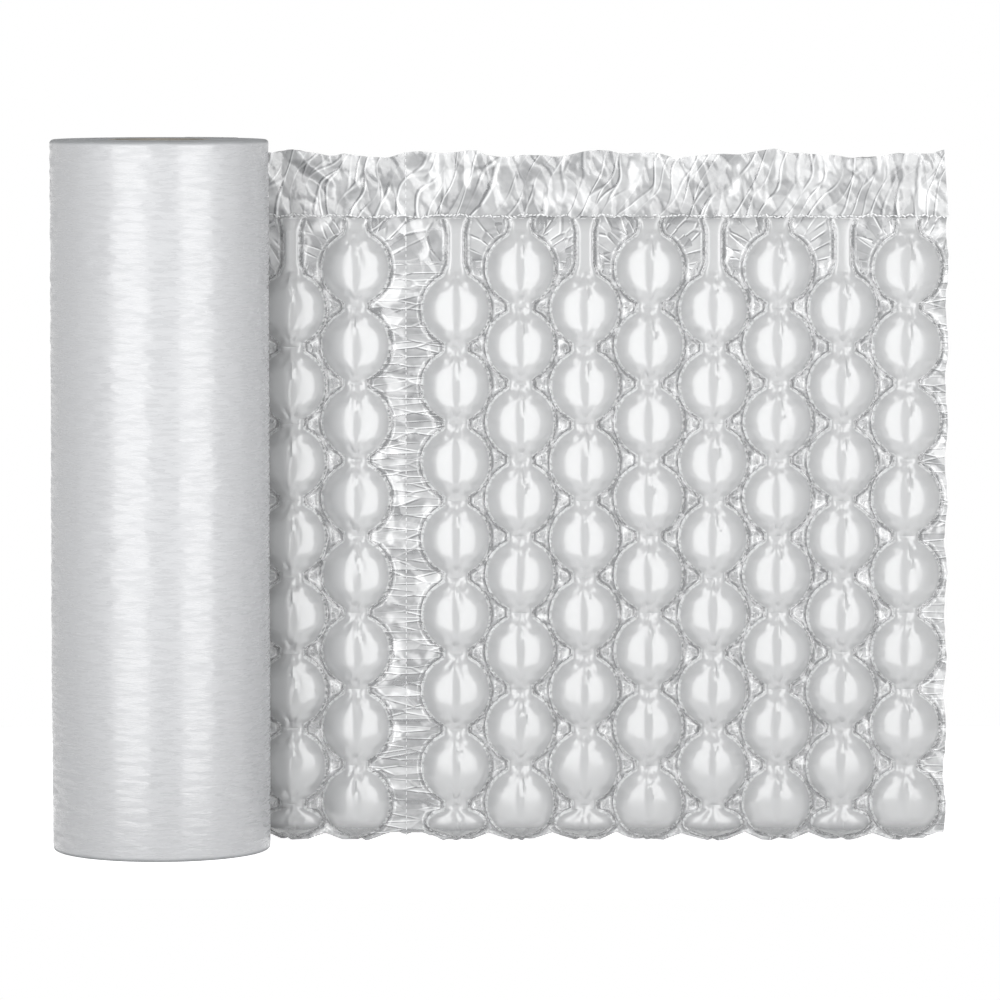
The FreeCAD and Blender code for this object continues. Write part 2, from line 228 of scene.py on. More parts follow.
@dataclass(frozen=True)
class InflatedFilm:
    """Clear blown polyethylene film, glossy, with painted shade and painted highlights on its slack folds and
    facets and along the cell outlines.
    """

    # dark end: colour of the painted shade in folds; pale end: pale pleats and the painted highlights
    fold_shade_colour: str = "#707274"
    clear_colour: str = "#B8B9BA"
    pleat_and_highlight_colour: str = "#F6F7F8"
    alpha: float = 0.76
    roughness: float = 0.24
    slack_roughness: float = 0.16
    crinkle_mm: float = 2.0
    crinkle_depth_mm: float = 0.1
    slack_bump: float = 0.8
    # fold_step to facet_contrast: spacing and strength of the painted fold highlights and shade, and of the
    # painted facet shading
    fold_step: float = 0.14
    fold_line: float = 0.11
    line_contrast: float = 0.6
    facet_contrast: float = 0.4
    # greys by distance outside a cell's rim in mm: a pale line along the rim, painted shade in the crease just
    # outside it, and a painted glint about 2.4 mm out
    outline: tuple[tuple[float, float], ...] = (
        (-3.0, 0.5),
        (-1.4, 0.52),
        (-0.6, 0.92),
        (0.1, 0.92),
        (0.5, 0.14),
        (1.0, 0.2),
        (1.6, 0.46),
        (2.4, 0.84),
        (3.0, 0.5),
        (5.0, 0.5),
    )

    def crease(self, t: ShaderTree, folds: bpy.types.NodeSocket, shift: float) -> bpy.types.NodeSocket:
        """Strength of a painted fold line at a point shifted to the side; two of these, subtracted, paint a
        highlight on a crease and shade beside it.

        Args:
            t: the material's tree.
            folds: coordinates along and across the folds.
            shift: distance to the side, in folds.

        Returns:
            The line contrast on a fold, falling to 0 beside it.
        """
        place = t.add("ShaderNodeVectorMath", {"operation": "ADD"}, in0=folds, in1=(0.0, shift, 0.0))
        facets = t.add(
            "ShaderNodeTexVoronoi",
            {"feature": "DISTANCE_TO_EDGE", "voronoi_dimensions": "2D"},
            Vector=place.outputs[0],
            Scale=1.0,
        )
        line = t.add(
            "ShaderNodeMapRange",
            {"interpolation_type": "SMOOTHSTEP"},
            in0=facets.outputs["Distance"],
            in1=0.0,
            in2=self.fold_line,
            in3=self.line_contrast,
            in4=0.0,
        )
        return line.outputs[0]

    def build(self) -> bpy.types.Material:
        """Make the material.

        Returns:
            The material, which reads the UV map in metres and the attributes tone, slack, edge
            and folds.
        """
        t = ShaderTree("polyethylene film, blown and inflated")
        tone, slack, edge, folds = (
            t.add("ShaderNodeAttribute", {"attribute_name": key}) for key in ("tone", "slack", "edge", "folds")
        )
        where = t.add("ShaderNodeUVMap", {"uv_map": "film"})
        fine = t.add(
            "ShaderNodeTexNoise",
            {"noise_dimensions": "2D"},
            Vector=where.outputs[0],
            Scale=1 / (self.crinkle_mm * MM),
            Detail=2.0,
            Roughness=0.55,
        )
        # painted highlight on each crease minus painted shade just beside it, as if the fold were lit from one
        # side
        crest, shadow = (self.crease(t, folds.outputs["Vector"], shift) for shift in (0.0, self.fold_step))
        lines = t.compute("SUBTRACT", crest, shadow)
        # painted facet shading: each facet gets a random grey, as if lit or shaded by its tilt
        flat = {"voronoi_dimensions": "2D"}
        facets = t.add("ShaderNodeTexVoronoi", flat, Vector=folds.outputs["Vector"], Scale=1.0)
        own = t.add("ShaderNodeSeparateColor", Color=facets.outputs["Color"])
        centred = t.compute("SUBTRACT", own.outputs[0], 0.5)
        patches = t.add(
            "ShaderNodeTexNoise",
            {"noise_dimensions": "2D"},
            Vector=folds.outputs["Vector"],
            Scale=0.8,
            Detail=1.0,
        )
        kept = t.add("ShaderNodeMapRange", in0=patches.outputs[0], in1=0.4, in2=0.58, in3=0.1, in4=1.0)
        broken_lines = t.compute("MULTIPLY", lines, kept.outputs[0])
        shade = t.compute("MULTIPLY_ADD", centred, self.facet_contrast, broken_lines)
        pulled = t.add("ShaderNodeSeparateXYZ", Vector=folds.outputs["Vector"])
        folded = t.compute("MULTIPLY_ADD", shade, pulled.outputs[2], tone.outputs["Fac"])
        # the outline's painted shade and glint, with the pale rim line, broken by fine noise and added to the
        # painted fold shading
        low, high = self.outline[0][0], self.outline[-1][0]
        span = high - low
        place = t.compute("MULTIPLY_ADD", edge.outputs["Fac"], 1 / span, -low / span)
        line = t.add("ShaderNodeValToRGB", Fac=place)
        marks = line.color_ramp.elements
        marks[0].color = marks[1].color = (0.5, 0.5, 0.5, 1.0)
        for distance, level in self.outline[1:-1]:
            marks.new((distance - low) / span).color = (level, level, level, 1.0)
        offset = t.compute("SUBTRACT", line.outputs[0], 0.5)
        broken = t.add("ShaderNodeMapRange", in0=fine.outputs[0], in1=0.38, in2=0.62, in3=0.15, in4=1.5)
        tone_with_painted_shade = t.compute("MULTIPLY_ADD", offset, broken.outputs[0], folded)
        # ramp from the painted fold shade through the clear film to pale pleats and painted highlights
        colour = t.add("ShaderNodeValToRGB", Fac=tone_with_painted_shade)
        stops = colour.color_ramp.elements
        stops[0].position, stops[0].color = 0.05, linear(self.fold_shade_colour)
        stops[1].position, stops[1].color = 0.95, linear(self.pleat_and_highlight_colour)
        middle = stops.new(0.5)
        middle.color = linear(self.clear_colour)
        depth = t.compute("MULTIPLY", slack.outputs["Fac"], self.slack_bump)
        bump = t.add(
            "ShaderNodeBump",
            Distance=self.crinkle_depth_mm * MM,
            Height=fine.outputs[0],
            Strength=depth,
        )
        smoother = self.slack_roughness - self.roughness
        rough = t.compute("MULTIPLY_ADD", slack.outputs["Fac"], smoother, self.roughness)
        t.feed("Base Color", colour.outputs[0])
        t.feed("Normal", bump.outputs[0])
        t.feed("Roughness", rough)
        t.feed("Alpha", self.alpha)
        t.feed("Specular IOR Level", 1.0)
        t.feed("Coat Weight", 1.0)
        t.feed("Coat Roughness", 0.17)
        t.feed("Coat IOR", 1.7)
        return t.material


@dataclass(frozen=True)
class WoundFilm:
    """Tightly wound film, satin and milky from its many turns, and greyer at the turns' cut edges."""

    colour: str = "#B8B9BB"
    end_colour: str = "#9EA0A2"
    roughness: float = 0.27
    glossier: float = 0.12
    duller: float = 0.2
    end_roughness: float = 0.6
    wrinkle_length_mm: float = 14.0
    wrinkle_height_mm: float = 2.2
    wrinkle_depth_mm: float = 0.24

    def build(self) -> bpy.types.Material:
        """Make the material.

        Returns:
            The material, which reads the UV map in metres and the attribute end.
        """
        t = ShaderTree("polyethylene film, wound")
        where = t.add("ShaderNodeUVMap", {"uv_map": "film"})
        stretch = t.add("ShaderNodeMapping", Vector=where.outputs[0])
        stretch.inputs["Rotation"].default_value = (0, 0, math.radians(-3))
        scales = (1 / (self.wrinkle_length_mm * MM), 1 / (self.wrinkle_height_mm * MM), 1)
        stretch.inputs["Scale"].default_value = scales
        fine = t.add(
            "ShaderNodeTexNoise",
            {"noise_dimensions": "2D"},
            Vector=stretch.outputs[0],
            Scale=1.0,
            Detail=2.0,
            Roughness=0.5,
            Distortion=0.3,
        )
        bump = t.add(
            "ShaderNodeBump",
            Distance=self.wrinkle_depth_mm * MM,
            Height=fine.outputs[0],
            Strength=0.7,
        )
        end = t.add("ShaderNodeAttribute", {"attribute_name": "end"})
        broad = t.add(
            "ShaderNodeTexNoise",
            {"noise_dimensions": "2D"},
            Vector=stretch.outputs[0],
            Scale=0.85,
            Detail=2.0,
            Roughness=0.6,
            Distortion=0.15,
        )
        gloss = t.add(
            "ShaderNodeMapRange",
            in0=broad.outputs[0],
            in1=0.35,
            in2=0.65,
            in3=self.roughness - self.glossier,
            in4=self.roughness + self.duller,
        )
        dull = t.compute("MULTIPLY_ADD", end.outputs["Fac"], self.end_roughness, gloss.outputs[0])
        colour = t.add(
            "ShaderNodeMix",
            {"data_type": "RGBA"},
            in0=end.outputs["Fac"],
            in6=linear(self.colour),
            in7=linear(self.end_colour),
        )
        t.feed("Base Color", colour.outputs[2])
        t.feed("Normal", bump.outputs[0])
        t.feed("Roughness", dull)
        t.feed("Specular IOR Level", 1.0)
        return t.material


@dataclass(frozen=True)
class TubeBoard:
    """Grey board, wound in a spiral."""

    colour: str = "#A8A39A"
    seam_colour: str = "#8A857C"
    ply_width_mm: float = 95.0
    seam_share: float = 0.012

    def build(self) -> bpy.types.Material:
        """Make the material.

        Returns:
            The material, which reads Object coordinates.
        """
        t = ShaderTree("grey board, spirally wound")
        where = t.add("ShaderNodeTexCoord")
        axes = t.add("ShaderNodeSeparateXYZ", Vector=where.outputs["Object"])
        angle = t.compute("ARCTAN2", axes.outputs[1], axes.outputs[0])
        turns = t.compute("DIVIDE", angle, 2 * math.pi)
        rise = t.compute("MULTIPLY_ADD", axes.outputs[2], 1 / (self.ply_width_mm * MM), turns)
        seam = t.compute("LESS_THAN", t.compute("FRACT", rise), self.seam_share)
        fibre = t.add(
            "ShaderNodeTexNoise", Vector=where.outputs["Object"], Scale=900.0, Detail=3.0, Roughness=0.6
        )
        tone = t.add(
            "ShaderNodeMix",
            {"data_type": "RGBA"},
            in0=seam,
            in6=linear(self.colour),
            in7=linear(self.seam_colour),
        )
        bump = t.add("ShaderNodeBump", Distance=0.00005, Height=fibre.outputs[0], Strength=0.6)
        t.feed("Base Color", tone.outputs[2])
        t.feed("Normal", bump.outputs[0])
        t.feed("Roughness", 0.85)
        return t.material


@dataclass(frozen=True)
class StudioWhite:
    """Floor that shows white to the camera, in gloss and through film, and keeps a soft shadow."""

    colour: str = "#FFFFFF"
    glow: float = 0.86

    def build(self) -> bpy.types.Material:
        """Make the material.

        Returns:
            The material.
        """
        t = ShaderTree("studio floor, white")
        path = t.add("ShaderNodeLightPath")
        seen = t.compute("MAXIMUM", path.outputs["Is Camera Ray"], path.outputs["Is Glossy Ray"])
        shown = t.compute("MAXIMUM", seen, path.outputs["Is Transmission Ray"])
        strength = t.compute("MULTIPLY", shown, self.glow)
        t.feed("Base Color", linear(self.colour))
        t.feed("Roughness", 1.0)
        t.feed("Specular IOR Level", 0.0)
        t.feed("Emission Color", (1.0, 1.0, 1.0, 1.0))
        t.feed("Emission Strength", strength)
        return t.material


@dataclass
class Cell:
    """One air cell: its place on the web and its half sizes, in mm."""

    u: float
    z: float
    half_width: float
    half_length: float
    depth: float
    seed: int
    first: bool


@dataclass
class WebSizes:
    """Real sizes of the film web in mm, the same as the solids'."""

    film_width: float = 400.0
    roll_radius: float = 61.5
    half_web: float = 0.3
    wrap_angle: float = 32.0
    lead_bend_radius: float = 6.0
    lead_angle: float = 5.0
    lead_clearance: float = 2.8
    lead_weld: float = 1.0
    perforation_weld: float = 8.85
    far_weld: float = 3.8
    sheet_y: float = 29.5
    columns_before: int = 2
    columns_after: int = 8
    width_shrink: float = 8.0
    header_height: float = 35.3
    short_inlet_length: float = 10.7
    column_stagger: float = 23.0
    hem_margin: float = 2.45
    column_pitch: float = 36.5
    cell_count: int = 8
    side_weld: float = 4.1
    cell_bulge: float = 3.3
    cell_depth: float = 12.3
    neck_length: float = 4.05
    neck_half_width: float = 7.4
    neck_height: float = 4.5
    last_narrowing: float = 3.0
    last_depth: float = 8.0
    channel_half_width: float = 4.9
    channel_height: float = 3.6
    mouth_half_width: float = 6.35
    mouth_length: float = 9.0
    inlet_end_gap: float = 1.5

    @property
    def seal_height(self) -> float:
        """Height of the crimped seal line."""
        return self.film_width - self.width_shrink - self.header_height

    @property
    def top_row_end(self) -> float:
        """Upper end of the topmost cells."""
        return self.seal_height - self.short_inlet_length

    @property
    def cell_pitch(self) -> float:
        """Distance between cells in a column."""
        return (self.top_row_end - self.hem_margin + self.neck_length) / self.cell_count

    @property
    def half_length(self) -> float:
        """Half length of a full cell."""
        return (self.cell_pitch - self.neck_length) / 2

    @property
    def half_width(self) -> float:
        """Half width of a full cell."""
        return (self.column_pitch - self.side_weld) / 2 + self.cell_bulge

    @property
    def first_column(self) -> float:
        """Distance from the perforation to the nearest column's middle."""
        return self.half_width + self.perforation_weld

    @property
    def lead_length(self) -> float:
        """Length of the web from its bend by the roll to the perforation."""
        before = (self.columns_before - 1) * self.column_pitch
        return self.first_column + before + self.half_width + self.lead_weld

    @property
    def web_end(self) -> float:
        """Distance from the perforation to the far edge."""
        after = (self.columns_after - 1) * self.column_pitch
        return self.first_column + after + self.half_width + self.far_weld


class WebPlan:
    """Middle line of the web in plan, from its tail on the roll to the far edge."""

    def __init__(self, sizes: WebSizes, softness: float = 2.2, step: float = 0.25) -> None:
        """Trace the line and ease its corners.

        Args:
            sizes: the web's sizes.
            softness: how far a corner is eased, in mm.
            step: spacing of the traced points, in mm.
        """
        radius = sizes.roll_radius + sizes.half_web
        turn = math.radians(sizes.lead_angle)
        foot_y = sizes.sheet_y + sizes.lead_length * math.sin(turn)
        foot_x = math.sqrt((radius + sizes.lead_clearance) ** 2 - foot_y**2)
        fold_x = foot_x + sizes.lead_length * math.cos(turn)
        bend = sizes.lead_bend_radius
        centre = np.array([foot_x + bend * math.sin(turn), foot_y + bend * math.cos(turn)])
        reach = math.hypot(*centre)
        leave = math.atan2(centre[0], centre[1]) - math.acos((radius + bend) / reach)
        wrap_points = 60
        wrapped = np.linspace(leave - math.radians(sizes.wrap_angle), leave, wrap_points)
        points = [(radius * math.sin(a), radius * math.cos(a)) for a in wrapped]
        for a in np.linspace(leave, turn, 12):
            points.append((centre[0] - bend * math.sin(a), centre[1] - bend * math.cos(a)))
        points += [(fold_x, sizes.sheet_y), (fold_x + sizes.web_end, sizes.sheet_y)]
        line = np.array(points)
        lengths = np.concatenate([[0.0], np.cumsum(np.hypot(*np.diff(line, axis=0).T))])
        at_fold = lengths[-2]
        self.start = -at_fold
        self.leaves_roll = lengths[wrap_points - 1] - at_fold
        self.web_start = lengths[-3] - at_fold
        self.end = sizes.web_end
        margin = 30.0
        fine = np.arange(self.start - margin, self.end + margin, step)
        clamped = np.clip(fine, self.start, self.end)
        place = np.stack([np.interp(clamped + at_fold, lengths, line[:, i]) for i in (0, 1)], axis=1)
        first, last = line[1] - line[0], line[-1] - line[-2]
        place += np.outer(np.minimum(fine - self.start, 0), first / np.hypot(*first))
        place += np.outer(np.maximum(fine - self.end, 0), last / np.hypot(*last))
        reach_steps = int(4 * softness / step)
        kernel = np.exp(-0.5 * (np.arange(-reach_steps, reach_steps + 1) * step / softness) ** 2)
        kernel /= kernel.sum()
        eased = np.stack([np.convolve(place[:, i], kernel, "same") for i in (0, 1)], axis=1)
        along = np.gradient(eased, axis=0)
        along /= np.hypot(along[:, 0], along[:, 1])[:, None]
        self.fine, self.eased, self.along = fine, eased, along

    def place(self, u: Array, z: Array, n: Array) -> Array:
        """Put web coordinates in space.

        Args:
            u: distance along the web from the perforation, in mm.
            z: height in mm.
            n: distance out of the middle line towards the front, in mm.

        Returns:
            Points in mm, one row each.
        """
        x = np.interp(u, self.fine, self.eased[:, 0])
        y = np.interp(u, self.fine, self.eased[:, 1])
        tx = np.interp(u, self.fine, self.along[:, 0])
        ty = np.interp(u, self.fine, self.along[:, 1])
        return np.stack([x + ty * n, y - tx * n, z], axis=-1)


class FilmRelief:
    """Shape of the inflated web: its cells, necks, inlets, pleats and creases."""

    def __init__(self, sizes: WebSizes, plan: WebPlan) -> None:
        """Lay out the cells.

        Args:
            sizes: the web's sizes.
            plan: the web's line in plan.
        """
        self.sizes = sizes
        self.plan = plan
        self.columns = self.column_places()
        self.cells = [cell for u, long_inlet in self.columns for cell in self.column_cells(u, long_inlet)]
        self.crumple = FilmNoise(11)
        self.tension = FilmNoise(23)
        self.swell = FilmNoise(37)
        self.pleats = FilmNoise(41)

    def column_places(self) -> list[tuple[float, bool]]:
        """Places of the columns.

        Returns:
            Each column's middle, and whether its inlet is a long one.
        """
        s = self.sizes
        before = [(-s.first_column - k * s.column_pitch, k % 2 == 1) for k in range(s.columns_before)]
        after = [(s.first_column + k * s.column_pitch, k % 2 == 0) for k in range(s.columns_after)]
        return before[::-1] + after

    def column_cells(self, u: float, long_inlet: bool) -> list[Cell]:
        """Cells of one column, from the top.

        Args:
            u: the column's middle.
            long_inlet: whether its first cell stands lower.

        Returns:
            The cells.
        """
        s = self.sizes
        first = s.top_row_end - s.half_length - (s.column_stagger if long_inlet else 0)
        full = s.cell_count - (1 if long_inlet else 0)
        cells = []
        for row in range(full):
            height = first - row * s.cell_pitch
            seed = int(u * 7) * 31 + row
            cells.append(Cell(u, height, s.half_width, s.half_length, s.cell_depth, seed, row == 0))
        if long_inlet:
            top = cells[-1].z - s.half_length - s.neck_length
            middle = (top + s.hem_margin) / 2
            width = s.half_width - s.last_narrowing
            cells.append(Cell(u, middle, width, top - middle, s.last_depth, int(u * 7) * 31 + full, False))
        return cells

    def tube_sizes(self, z: Array, column_u: float, long_inlet: bool) -> tuple[Array, Array, Array]:
        """Half width and ridge height of one column's air tube at each height.

        Args:
            z: heights.
            column_u: the column's middle.
            long_inlet: whether its inlet is a long one.

        Returns:
            Half widths, ridge heights, and how much of a cell each height is in, from 0 to 1.
        """
        s = self.sizes
        end = s.seal_height - s.inlet_end_gap
        first = s.top_row_end - (s.column_stagger if long_inlet else 0)
        channel = s.channel_half_width if long_inlet else s.neck_half_width * 0.6
        taper = ramp(z, first - 1, first + 7)
        flare = ramp(z, end - s.mouth_length, end)
        width = s.neck_half_width + (channel - s.neck_half_width) * taper
        width += (s.mouth_half_width - channel) * flare
        tall = s.neck_height + (s.channel_height - s.neck_height) * taper
        tall = tall * (1 - 0.75 * flare) * (z < end)
        low = s.hem_margin + (5.0 if long_inlet else 12.0)
        width = width * np.sqrt(np.clip((z - s.hem_margin) / low, 0.0, 1.0)) + 0.01
        tall = tall * ramp(z, s.hem_margin, low)
        share = np.zeros_like(z)
        for cell in self.cells:
            if cell.u != column_u:
                continue
            away = np.abs(z - cell.z)
            dz = np.clip(away / cell.half_length, 0.0, 1.0)
            bulge = cell.half_width * (1 - dz**2.1) ** 0.5
            width = (width**3.2 + bulge**3.2) ** (1 / 3.2)
            rise = (1 - np.clip(away / (cell.half_length + s.neck_length / 2), 0.0, 1.0) ** 3.2) ** 1.35
            tall = tall + (cell.depth - s.neck_height) * rise
            share = share + rise
        return width, tall, share

    def tubes(self, u: Array, z: Array) -> tuple[Array, Array]:
        """Height of the air tubes and how near each point is to a tube's outline.

        Args:
            u: distances along the web.
            z: heights.

        Returns:
            Height of one skin over the weld, and the distance outside the nearest outline.
        """
        relief = np.zeros_like(u)
        outside = np.full_like(u, 50.0)
        for column_u, long_inlet in self.columns:
            near = np.abs(u - column_u) < 30
            across, height = np.abs(u - column_u)[near], z[near]
            width, tall, share = self.tube_sizes(height, column_u, long_inlet)
            lean = (self.tube_sizes(height + 0.4, column_u, long_inlet)[0] - width) / 0.4
            t = np.clip(across / width, 0.0, 1.0)
            roof = (np.sqrt(t * t + 0.075) - 0.274) / 0.763
            slope = 0.05 + 0.45 * ramp(share, 0.02, 0.35)
            power = 7 - 4 * np.exp(-(((share - 0.76) / 0.2) ** 2))
            section = np.clip(1 - slope * roof - (1 - slope) * t**power, 0, None)
            relief[near] = np.maximum(relief[near], tall * section)
            inside_column = (height < self.sizes.seal_height - self.sizes.inlet_end_gap) & (height > 2.5)
            gap = np.where(inside_column, (across - width) / np.sqrt(1 + lean**2), 50.0)
            outside[near] = np.minimum(outside[near], gap)
        return relief, outside

    def cell_marks(self, u: Array, z: Array, side: int) -> tuple[Array, Array, Array, Array]:
        """Pleats and neck creases in the cells, and the folds in the film that they pull on.

        Args:
            u: distances along the web.
            z: heights.
            side: 1 for the front skin and -1 for the back one.

        Returns:
            Share by which the cells' height changes, the folds, the folds' weight, and
            coordinates along and across the folds.
        """
        s = self.sizes
        course = np.stack([(z + 0.35 * u) / 26, (u - 0.5 * z) / 9, u * 0], axis=-1)
        nearest = np.full_like(u, 99.0)
        change = np.zeros_like(u)
        folds = np.zeros_like(u)
        shares = np.full_like(u, 0.05)
        for cell in self.cells:
            reach = 26.0 if cell.first else 11.0
            near = (np.abs(u - cell.u) < cell.half_width + reach) & (
                np.abs(z - cell.z) < cell.half_length + reach
            )
            across, up = (u - cell.u)[near], (z - cell.z)[near]
            dx, dz = across / cell.half_width, up / cell.half_length
            rho = np.hypot(dx, dz)
            theta = np.arctan2(dz, dx)
            key = (cell.seed * 0.618 + (3.1 if side < 0 else 0.0)) % 97
            pleat = self.pleats.creased(np.cos(theta) * 3.1 + key, np.sin(theta) * 3.1 + key * 1.7)
            rim = ramp(rho, 0.60, 0.92) * (rho < 1.05)
            here = -0.09 * rim * np.clip(-pleat, -0.3, 1) + self.neck_creases(across, up, cell, key)
            change[near] += here * (rho < 1.12)
            out = (rho - 1) * cell.half_width
            spread = 5.5 + (9.0 * ramp(up, 2, 16) if cell.first else 0.0)
            weight = np.exp(-((np.clip(out, 0, None) / spread) ** 2)) * ramp(out, -1.5, 1.0)
            radial = self.tension.faceted(theta * 4.4 + key, out / 13.0 + key * 0.3)
            folds[near] += weight * radial
            shares[near] += weight
            closest = near.copy()
            closest[near] = out < nearest[near]
            nearest[near] = np.minimum(nearest[near], out)
            course[closest, 0] = out[closest[near]] / 19.0 + key
            course[closest, 1] = theta[closest[near]] * 5.0
        level = (np.abs(u) < s.first_column) | (u > self.plan.end - s.far_weld - s.half_width)
        level &= z < s.top_row_end - 16
        course[level, 0], course[level, 1] = u[level] / 22.0, z[level] / 4.0
        course[level, 2] = 1.0
        return change, folds / shares, np.clip(shares, 0, 1), course

    def neck_creases(self, across: Array, up: Array, cell: Cell, key: float) -> Array:
        """Creases that run out of a neck into the cell, as shares of its height.

        Args:
            across: distances from the cell's middle along the web.
            up: distances above the cell's middle.
            cell: the cell.
            key: number that makes each cell's creases its own.

        Returns:
            Share by which the height changes.
        """
        rng = np.random.default_rng(int(key * 1000))
        change = np.zeros_like(across)
        creases = (
            (1, 0.02, 11.0, -0.09),
            (1, 0.13, 13.0, 0.11),
            (1, 0.25, 12.0, -0.13),
            (1, 0.62, 8.0, -0.13),
            (1, -0.60, 7.0, -0.12),
            (-1, 0.45, 8.5, -0.15),
            (-1, -0.42, 7.5, -0.15),
            (-1, 0.02, 7.0, -0.07),
        )
        for end, lean, length, depth in creases:
            angle = lean + rng.uniform(-0.06, 0.06)
            reach = length * rng.uniform(0.75, 1.25)
            px, pz = across, cell.half_length + 0.5 - end * up
            distance = np.hypot(px, pz)
            off = px * math.cos(angle) - pz * math.sin(angle)
            ahead = ramp(px * math.sin(angle) + pz * math.cos(angle), -3, 1)
            line = np.exp(-((off / 1.1) ** 2)) * np.exp(-((distance / reach) ** 2)) * ahead
            line *= ramp(distance, 0.8, 3.6)
            change += depth * rng.uniform(0.6, 1.2) * line
        return change

    def skin(self, u: Array, z: Array, side: int) -> tuple[Array, Array, Array, Array, Array]:
        """Place of one skin of the web.

        Args:
            u: distances along the web in mm.
            z: heights in mm.
            side: 1 for the front skin and -1 for the back one.

        Returns:
            Distance out of the middle line, tone from 0 dark to 1 pale with painted shade along the seal
            and on the lowest cells, slackness, distance outside the nearest air tube, and coordinates
            along and across the folds with the folds' strength.
        """
        s = self.sizes
        height, outside = self.tubes(u, z)
        change, folds, pulled, course = self.cell_marks(u, z, side)
        height = height * np.clip(1 + change, 0.2, 1.4)
        free = ramp(u, self.plan.leaves_roll, self.plan.web_start)
        flat = ramp(outside, -1.6, 0.6)
        crumple = self.crumple.wrinkled(u / 9.0, z / 9.0)
        fine = self.crumple.faceted(u / 4.0 + 11, z / 4.0 + 5)
        strip = np.exp(-((u / 11.0) ** 4)) * (1 - ramp(z, s.top_row_end - 20, s.top_row_end))
        far = ramp(u, self.plan.end - 7, self.plan.end - 2)
        lift = self.swell.smooth(u / 18, z / 18)
        pull = self.tension.wrinkled(u / 27.0 + 5, z / 5.0 + 0.5 * lift)
        seal = np.exp(-(((z - s.seal_height + 2) / 3.0) ** 2))
        middle = 1.6 * folds * pulled * (1 - 0.6 * strip) + 1.5 * crumple * (1 - 0.7 * pulled) * (1 - strip)
        middle += 1.7 * pull * np.maximum(strip, 0.5 * far) + 0.2 * fine
        middle += 0.5 * seal * self.tension.faceted(u / 2.6 + 3, z / 3.0)
        middle *= flat
        middle += 0.55 * self.swell.smooth(u / 31, z / 34)
        middle *= free
        own = flat * 0.15 * self.crumple.faceted(u / 4 + 9 * side, z / 4) * free
        slack = np.clip(flat, 0.0, 1.0) * free
        # strength of the painted fold lines and facet shading on slack film
        course[..., 2] = slack * np.maximum(course[..., 2], ramp(outside, 1.5, 3.8))
        # painted shade: the cells' film is darker towards the floor, below 13 mm
        lowest_cell_shade = (1 - slack) * free * (1 - ramp(z, 6, 13))
        # painted shade: a dark band along the seal, under the header flaps' lower edges
        tone = 0.52 - 0.14 * slack - 0.2 * seal - 0.5 * lowest_cell_shade
        edge = np.clip(outside, -3, 5)
        return middle + side * (s.half_web + height) + own, np.clip(tone, 0, 1), slack, edge, course


@dataclass
class SkinGrid:
    """One skin as a grid of points with what each point carries."""

    points: Array
    uv: Array
    tone: Array
    slack: Array
    edge: Array
    folds: Array


def slopes(n: Array, u: Array, z: Array) -> tuple[Array, Array]:
    """Slopes of a height over a grid whose lines may lean.

    Args:
        n: heights.
        u: places along the web.
        z: places up the web.

    Returns:
        Slope along the web and slope up it.
    """
    (n_row, n_col), (u_row, u_col), (z_row, z_col) = np.gradient(n), np.gradient(u), np.gradient(z)
    area = np.maximum(u_col * z_row - u_row * z_col, 1e-4)
    return (n_col * z_row - n_row * z_col) / area, (n_row * u_col - n_col * u_row) / area


def paint_fold_shading(tone: Array, n: Array, slack: Array, u: Array, z: Array) -> Array:
    """Paint light and shade into the tone: painted shade in the hollows of folds, painted highlights on their
    crests, and each facet lighter or darker by its slope, as if lit from one side.

    Args:
        tone: tone from 0 dark to 1 pale.
        n: distances out of the film's middle line, as a grid.
        slack: share of each point that is slack film.
        u: places along the web.
        z: places up the web.

    Returns:
        The new tone.
    """
    run, rise = slopes(n, u, z)
    bend = slopes(run, u, z)[0] + slopes(rise, u, z)[1]
    # painted shading: slope towards one side lightens a facet, bend darkens hollows and pales crests
    change = 0.40 * np.tanh(1.3 * (0.75 * run - rise)) - 0.35 * np.tanh(1.2 * bend)
    return np.clip(tone + slack * change, 0, 1)


